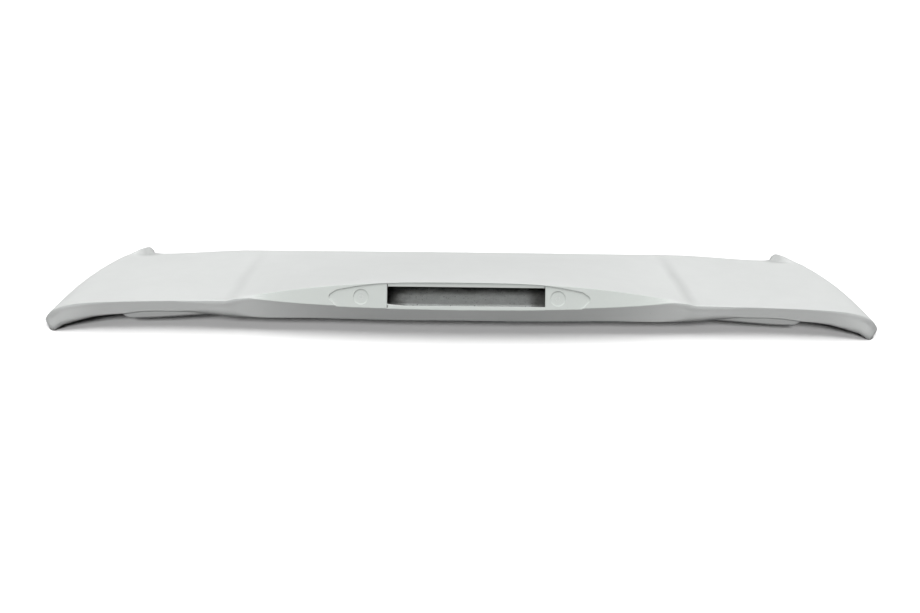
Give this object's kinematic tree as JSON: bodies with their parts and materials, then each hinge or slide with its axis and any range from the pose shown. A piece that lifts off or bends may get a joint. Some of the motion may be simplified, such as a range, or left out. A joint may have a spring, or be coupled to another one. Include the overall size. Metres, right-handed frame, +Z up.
{
  "type": "car roof spoiler",
  "caption": "Wide shallow hatchback roof spoiler with hooked wing tips, front ears and a raised middle with a slanted lamp slot.",
  "frame": {"origin": "middle of the bounding box in X and Y, on the floor that the spoiler lies on", "axes": "+X across the car, +Y towards the car's front (the leading edge), +Z up; the lamp slot faces -Y"},
  "size_m": [1.16, 0.272, 0.0804],
  "materials": {
    "primer": "unpainted pale grey gelcoat, smooth and matt",
    "laminate": "grey glass fibre laminate, smooth outside and rough on the lay-up side"
  },
  "bodies": {
    "root": {"upper_skin": "primer", "lower_skin": "laminate"}
  },
  "joints": []
}
